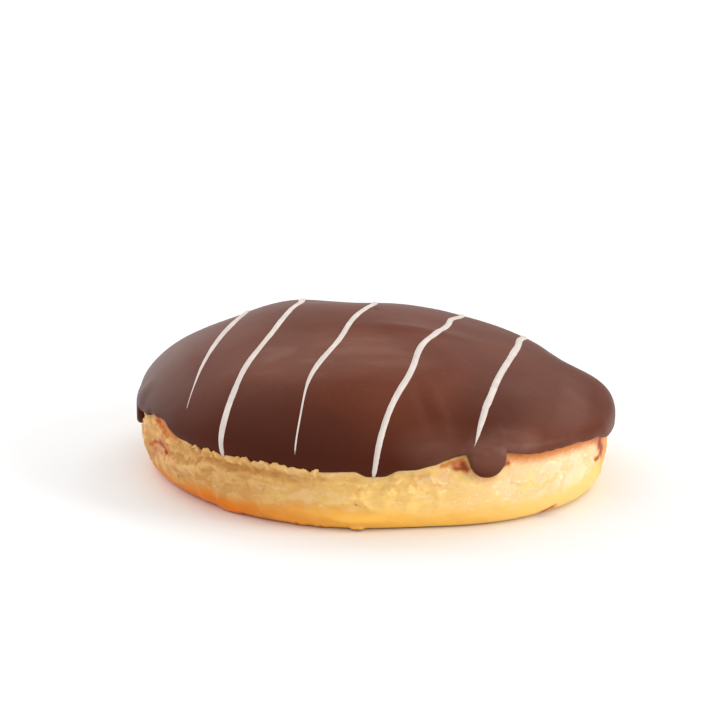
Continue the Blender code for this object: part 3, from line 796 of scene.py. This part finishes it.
# Painted shade: darker stretches across the front, and a small painted shadow just left of the drip
painted_shade = patch(-17, 18.5, 19, 7.5) * 0.4 | patch(21, 21, 11, 6) * 0.35
brown = chocolate.blend(painted_shade * on_front, brown, seen(52, 14, 4))
brown = chocolate.blend(patch(15.8, 12.0, 2.2, 3.2) * on_front * 0.5, brown, seen(60, 20, 9))
skin_bumps = chocolate.bump(chocolate.grain(0.7 * MM, 3, 0.5), 0.03 * MM, 0.35)
skin_bumps = chocolate.bump(chocolate.grain(4 * MM, 3, 0.5), 0.25 * MM, 0.25, skin_bumps)
chocolate.wear(coat, Base_Color=brown, Roughness=0.36 + 0.1 * cloudy, Normal=skin_bumps)

# The lines: white sugar icing piped across the coat in one back and forth sweep, each a thin bead
# that kinks a little where the hand slowed. Three of them thin out at the front.
icing_width = 1.6 * MM
icing_sunk = 0.53 * MM
kink_reach = 7
lean_fade = 1.5
points_along = 140
# Each line is thinner where it ends at the back, and its front tip is round
thin_back, back_fade = 0.4, 10
tip_length, smallest_tip = 0.6, 0.2
# On the flat round, in millimetres. Course: X at the middle, lean, bow, where it stops leaning,
# where and how much it kinks. Run: front end, where it is narrow and where it is full, narrow and
# full share, back end.
icing_lines = (
    ((-27.2, 0.462, 0.0030, 7, -17.3, -0.16), (-25.5, -26, 2, 0.15, 1.25, 28)),
    ((-15.8, 0.432, 0.0013, 6, -15, 0.54), (-39.2, -40, -36, 0.85, 1.08, 36)),
    ((-0.9, 0.399, 0.0021, 4, -22.8, 0.85), (-45.4, -35, -24.5, 0.3, 1.02, 39)),
    ((15.2, 0.338, 0.0009, 12, -21.9, -0.7), (-49.8, -50, -46, 0.7, 1.0, 37)),
    ((29.4, 0.317, 0.0016, 12, -25.7, -0.23), (-43.6, -45.5, -35.5, 0.3, 1.12, 28)),
)
icing = Finish("white_icing", Roughness=0.55, IOR=1.45)
cream = icing.blend(icing.step(icing.grain(3 * MM, 3), 0.35, 0.7), seen(203, 191, 182), seen(214, 203, 195))
icing_bumps = icing.bump(icing.grain(0.6 * MM, 3, 0.6), 0.08 * MM, 0.5)
for number, (course, run) in enumerate(icing_lines, 1):
    middle, lean, bow, lean_end, kink_at, kink = course
    front, narrow, full, narrow_share, full_share, back = run
    y = np.linspace(front, back, points_along)
    bend = (y - kink_at) / kink_reach
    leant = lean_end - lean_fade * np.log(1 + np.exp((lean_end - y) / lean_fade))
    x = middle + lean * leant + bow * leant * leant + kink * bend * np.exp(0.5 - bend * bend / 2)
    azimuth = np.degrees(np.arctan2(y, x))
    share = np.hypot(x, y) * MM / sheet_radius
    width = narrow_share + (full_share - narrow_share) * ease(narrow, full, y)
    thinned = thin_back + (1 - thin_back) * ease(0, back_fade, back - y)
    rounded = np.minimum(1, np.sqrt(np.maximum(smallest_tip, (y - front) / tip_length)))
    width *= thinned * rounded
    path = laid(azimuth, share, coat_lift(azimuth, share) - icing_sunk * width) + plate_shift
    width *= 1 + 0.08 * grain(path, 5 * MM, 51) + 0.05 * grain(path, 1.5 * MM, 53)
    curve = bpy.data.curves.new(f"icing_line_{number}", "CURVE")
    curve.dimensions = "3D"
    curve.bevel_depth = icing_width / 2
    curve.bevel_resolution = 4
    curve.use_fill_caps = True
    spline = curve.splines.new("POLY")
    spline.points.add(len(path) - 1)
    for point, place, size in zip(spline.points, path, width):
        point.co = (*place, 1)
        point.radius = size
    line = bpy.data.objects.new(f"icing_line_{number}", curve)
    bpy.context.collection.objects.link(line)
    bpy.ops.object.select_all(action="DESELECT")
    line.select_set(True)
    bpy.context.view_layer.objects.active = line
    bpy.ops.object.convert(target="MESH")
    bpy.ops.object.mode_set(mode="EDIT")
    bpy.ops.mesh.select_all(action="SELECT")
    bpy.ops.mesh.remove_doubles(threshold=0.005 * MM)
    bpy.ops.mesh.normals_make_consistent(inside=False)
    bpy.ops.object.mode_set(mode="OBJECT")
    line.data.shade_smooth()
    icing.wear(line, Base_Color=cream, Normal=icing_bumps)
    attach(line, "root")
    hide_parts("chocolate_coat")

# The table top, the lights and the camera: a plain pale table in a white room, lit by wide soft
# panels behind, at the right and in front.
table_size = 24
room_brightness = 0.28
bpy.ops.object.select_all(action="DESELECT")
bpy.ops.mesh.primitive_plane_add(size=table_size)
table = bpy.context.active_object
table.name = "table"
paper = Finish("pale_table", Roughness=0.6)
paper.shader.inputs["Base Color"].default_value = (0.88, 0.88, 0.88, 1)
table.data.materials.append(paper.material)

world = bpy.data.worlds.new("studio")
bpy.context.scene.world = world
world.use_nodes = True
room = world.node_tree.nodes["Background"]
room.inputs["Color"].default_value = (1.0, 1.0, 1.0, 1)
room.inputs["Strength"].default_value = room_brightness


def lamp(name, azimuth, elevation, spread, strength, colour):
    """A wide even light, as from a large soft panel far off: its direction and spread in degrees."""
    light = bpy.data.lights.new(name, "SUN")
    light.angle = radians(spread)
    light.energy = strength
    light.color = colour
    holder = bpy.data.objects.new(name, light)
    bpy.context.collection.objects.link(holder)
    turn, climb = radians(azimuth), radians(elevation)
    toward = Vector((cos(climb) * cos(turn), cos(climb) * sin(turn), sin(climb)))
    holder.rotation_euler = toward.to_track_quat("Z", "Y").to_euler()


white = (1.0, 1.0, 1.0)
warm_white = (1.0, 0.99, 0.97)
lamp("panel_behind", 155, 50, 150, 1.85, white)
lamp("strip_behind", 135, 18, 60, 0.85, white)
lamp("strip_right", 35, 38, 40, 0.6, white)
lamp("key", -15, 20, 30, 1.8, warm_white)
lamp("front_fill", -95, 25, 120, 0.95, white)

# Camera fitted to the photo's outline: where the doughnut's middle falls in the 720 pixel picture,
# the distance, and the height of the view.
picture = 720
middle_pixel = (371.0, 465.35)
camera_distance = 0.480
view_height = radians(17.0)
pixels_per_turn = 2400
sensor_width = 36
camera = bpy.data.cameras.new("camera")
camera.lens = pixels_per_turn * sensor_width / picture
camera.sensor_width = sensor_width
camera.clip_start = 0.01
camera.clip_end = 50
viewer = bpy.data.objects.new("camera", camera)
bpy.context.collection.objects.link(viewer)
ahead = Vector((0, cos(view_height), -sin(view_height)))
above = Vector((0, sin(view_height), cos(view_height)))
viewer.location = Vector(plate_shift) - ahead * camera_distance
aim = ahead + Vector((1, 0, 0)) * (picture / 2 - middle_pixel[0]) / pixels_per_turn
aim += above * (middle_pixel[1] - picture / 2) / pixels_per_turn
viewer.rotation_euler = aim.to_track_quat("-Z", "Y").to_euler()
bpy.context.scene.camera = viewer
bpy.context.scene.view_settings.view_transform = "Standard"

bpy.context.view_layer.update()
